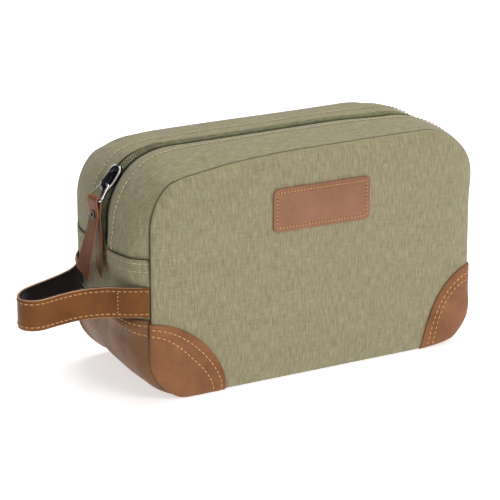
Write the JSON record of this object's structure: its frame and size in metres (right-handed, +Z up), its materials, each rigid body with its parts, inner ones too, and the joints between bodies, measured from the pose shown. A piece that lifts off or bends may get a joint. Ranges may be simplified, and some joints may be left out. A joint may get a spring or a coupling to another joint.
{
  "type": "toiletry bag",
  "caption": "Boxy canvas toiletry bag with leather lower corners, a zip over the top, a folded leather zip pull and a leather wrist strap looped on one end.",
  "frame": {"origin": "centre of the base, on the surface the bag stands on", "axes": "+X to the bag's right, away from the wrist strap; -Y is the front with the label; +Z up"},
  "size_m": [0.336, 0.1132, 0.1605],
  "materials": {
    "canvas": "matte",
    "saddle_leather": "satin",
    "pull_leather": "satin",
    "dark_suede": "matte",
    "zip_tape": "matte",
    "zip_coil": "satin",
    "gunmetal": "satin",
    "thread_tan": "matte",
    "thread_pale": "matte",
    "foam": "matte",
    "stiffener": "matte",
    "lining_cloth": "matte"
  },
  "bodies": {
    "bag": {"front_panel": "canvas", "back_panel": "canvas", "front_zip_gusset": "canvas", "back_zip_gusset": "canvas", "left_end_panel": "canvas", "right_end_panel": "canvas", "base_panel": "canvas", "left_leather_end": "saddle_leather", "right_leather_end": "saddle_leather", "front_left_corner_patch": "saddle_leather", "front_right_corner_patch": "saddle_leather", "back_left_corner_patch": "saddle_leather", "back_right_corner_patch": "saddle_leather", "label_patch": "saddle_leather", "front_zip_tape": "zip_tape", "back_zip_tape": "zip_tape", "front_zip_coil": "zip_coil", "back_zip_coil": "zip_coil", "strap_front_root": "saddle_leather", "strap_back_root": "saddle_leather", "front_foam": "foam", "back_foam": "foam", "gusset_foam": "foam", "base_board": "stiffener", "front_lining": "lining_cloth", "back_lining": "lining_cloth", "gusset_lining": "lining_cloth"},
    "slider": {"zip_slider": "gunmetal", "slider_bridge": "gunmetal"},
    "ring": {"pull_ring": "gunmetal"},
    "pull": {"pull_tab": "pull_leather", "pull_eyelet": "gunmetal"},
    "strap": {"strap_loop": "saddle_leather", "strap_lining": "dark_suede"}
  },
  "joints": [
    {"name": "slider_travel", "type": "hinge", "parent": "bag", "child": "slider", "pos_m": [-0.08565, 0, 0.11285], "axis": [0, 1, 0], "range_deg": [-3, 50]},
    {"name": "ring_swing", "type": "hinge", "parent": "slider", "child": "ring", "pos_m": [-0.12941, 0, 0.13604], "axis": [0, 1, 0], "range_deg": [0, 155]},
    {"name": "pull_swing", "type": "hinge", "parent": "ring", "child": "pull", "pos_m": [-0.13712, 0, 0.12685], "axis": [0, 1, 0], "range_deg": [0, 60]},
    {"name": "strap_lift", "type": "hinge", "parent": "bag", "child": "strap", "pos_m": [-0.146, 0, 0.0669], "axis": [0, 1, 0], "range_deg": [-35, 25], "stiffness_Nm_per_rad": 0.12}
  ]
}
